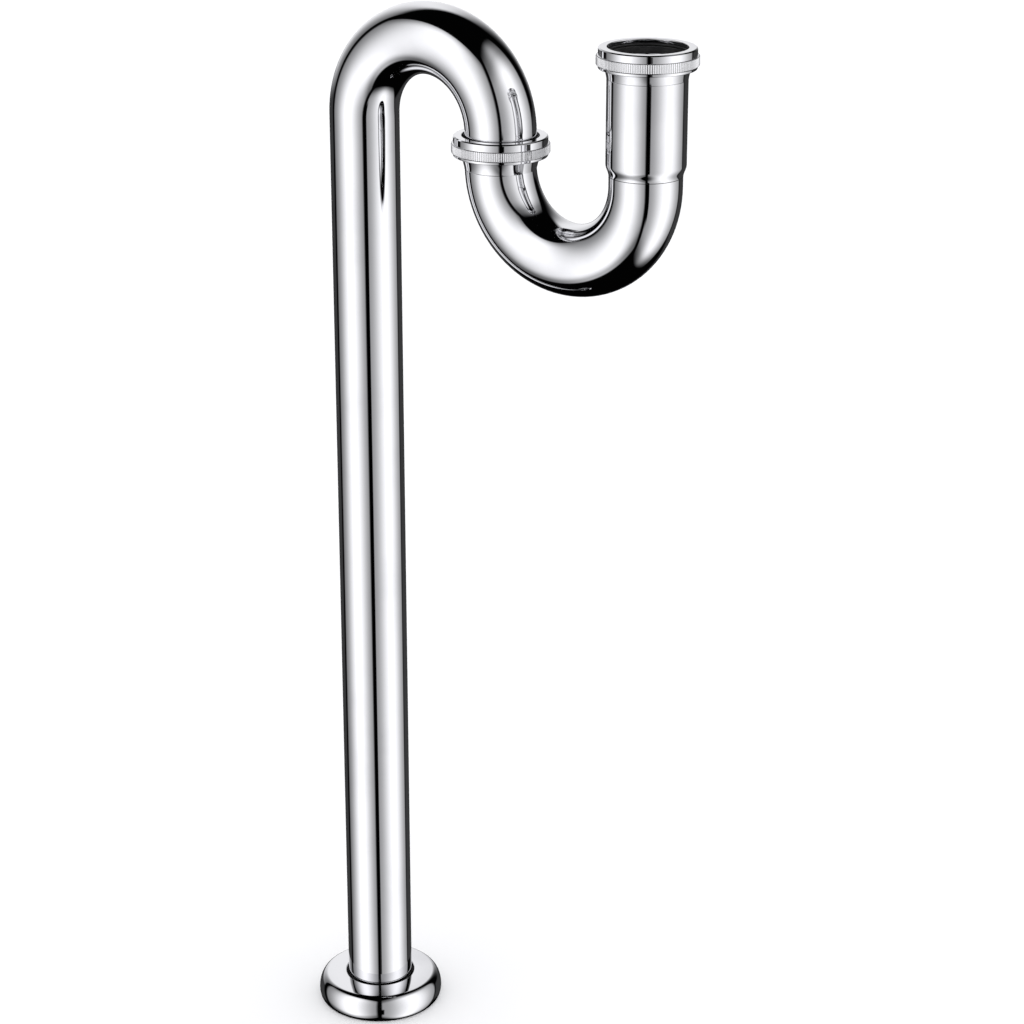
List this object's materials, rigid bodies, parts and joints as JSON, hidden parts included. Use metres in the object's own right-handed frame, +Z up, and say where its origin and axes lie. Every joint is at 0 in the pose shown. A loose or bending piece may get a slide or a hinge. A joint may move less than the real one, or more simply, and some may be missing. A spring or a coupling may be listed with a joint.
{
  "type": "s trap",
  "caption": "Chromed tubular S-shaped basin trap: tall outlet pipe that arches over to a U bend, knurled slip nuts at union and inlet, and a low round-sided flange on the floor.",
  "frame": {"origin": "on the outlet pipe's axis at floor level, where the pipe enters the floor drain", "axes": "+Z up along the outlet pipe, +X from the outlet pipe towards the union and the inlet, +Y square to the trap's plane"},
  "size_m": [0.205, 0.062, 0.511],
  "materials": {
    "chrome_pipe": "mirror-polished chrome plate on brass tube",
    "chrome_fitting": "polished chrome plate on turned brass",
    "chrome_nut": "polished chrome plate, straight knurl on the grip band",
    "chrome_flange": "mirror-polished chrome plate on pressed brass",
    "black_rubber": "matt moulded rubber",
    "slip_plastic": "satin black slip plastic"
  },
  "bodies": {
    "outlet": {"outlet_pipe": "chrome_pipe", "pipe_collar": "chrome_fitting"},
    "trap": {"u_bend": "chrome_pipe", "inlet_socket": "chrome_pipe", "union_ferrule": "chrome_fitting", "inlet_ferrule": "chrome_fitting", "union_gasket": "black_rubber", "inlet_gasket": "black_rubber"},
    "union_ring": {"union_slip_ring": "slip_plastic"},
    "union_nut": {"union_nut": "chrome_nut"},
    "inlet_ring": {"inlet_slip_ring": "slip_plastic"},
    "inlet_nut": {"inlet_nut": "chrome_nut"},
    "flange_ring": {"flange_grip_ring": "black_rubber"},
    "flange": {"floor_flange": "chrome_flange"}
  },
  "joints": [
    {"name": "trap_swivel", "type": "hinge", "parent": "outlet", "child": "trap", "pos_m": [0.076, 0, 0.4522], "axis": [0, 0, 1], "range_deg": [-140, 140]},
    {"name": "union_nut_lift", "type": "slide", "parent": "trap", "child": "union_ring", "axis": [0, 0, 1], "range_m": [0, 0.0051]},
    {"name": "union_nut_turn", "type": "hinge", "parent": "union_ring", "child": "union_nut", "pos_m": [0.076, 0, 0.4518], "axis": [0, 0, 1], "range_deg": [0, 1800]},
    {"name": "inlet_nut_lift", "type": "slide", "parent": "trap", "child": "inlet_ring", "axis": [0, 0, 1], "range_m": [0, 0.0051]},
    {"name": "inlet_nut_turn", "type": "hinge", "parent": "inlet_ring", "child": "inlet_nut", "pos_m": [0.152, 0, 0.4992], "axis": [0, 0, 1], "range_deg": [0, 1800]},
    {"name": "flange_slide", "type": "slide", "parent": "outlet", "child": "flange_ring", "axis": [0, 0, 1], "range_m": [0, 0.12]},
    {"name": "flange_spin", "type": "hinge", "parent": "flange_ring", "child": "flange", "pos_m": [0, 0, 0.0106], "axis": [0, 0, 1], "continuous": true}
  ],
  "couplings": [
    {"joint": "union_nut_lift", "follows": "union_nut_turn", "m_per_rad": 0.00015915},
    {"joint": "inlet_nut_lift", "follows": "inlet_nut_turn", "m_per_rad": 0.00015915}
  ]
}
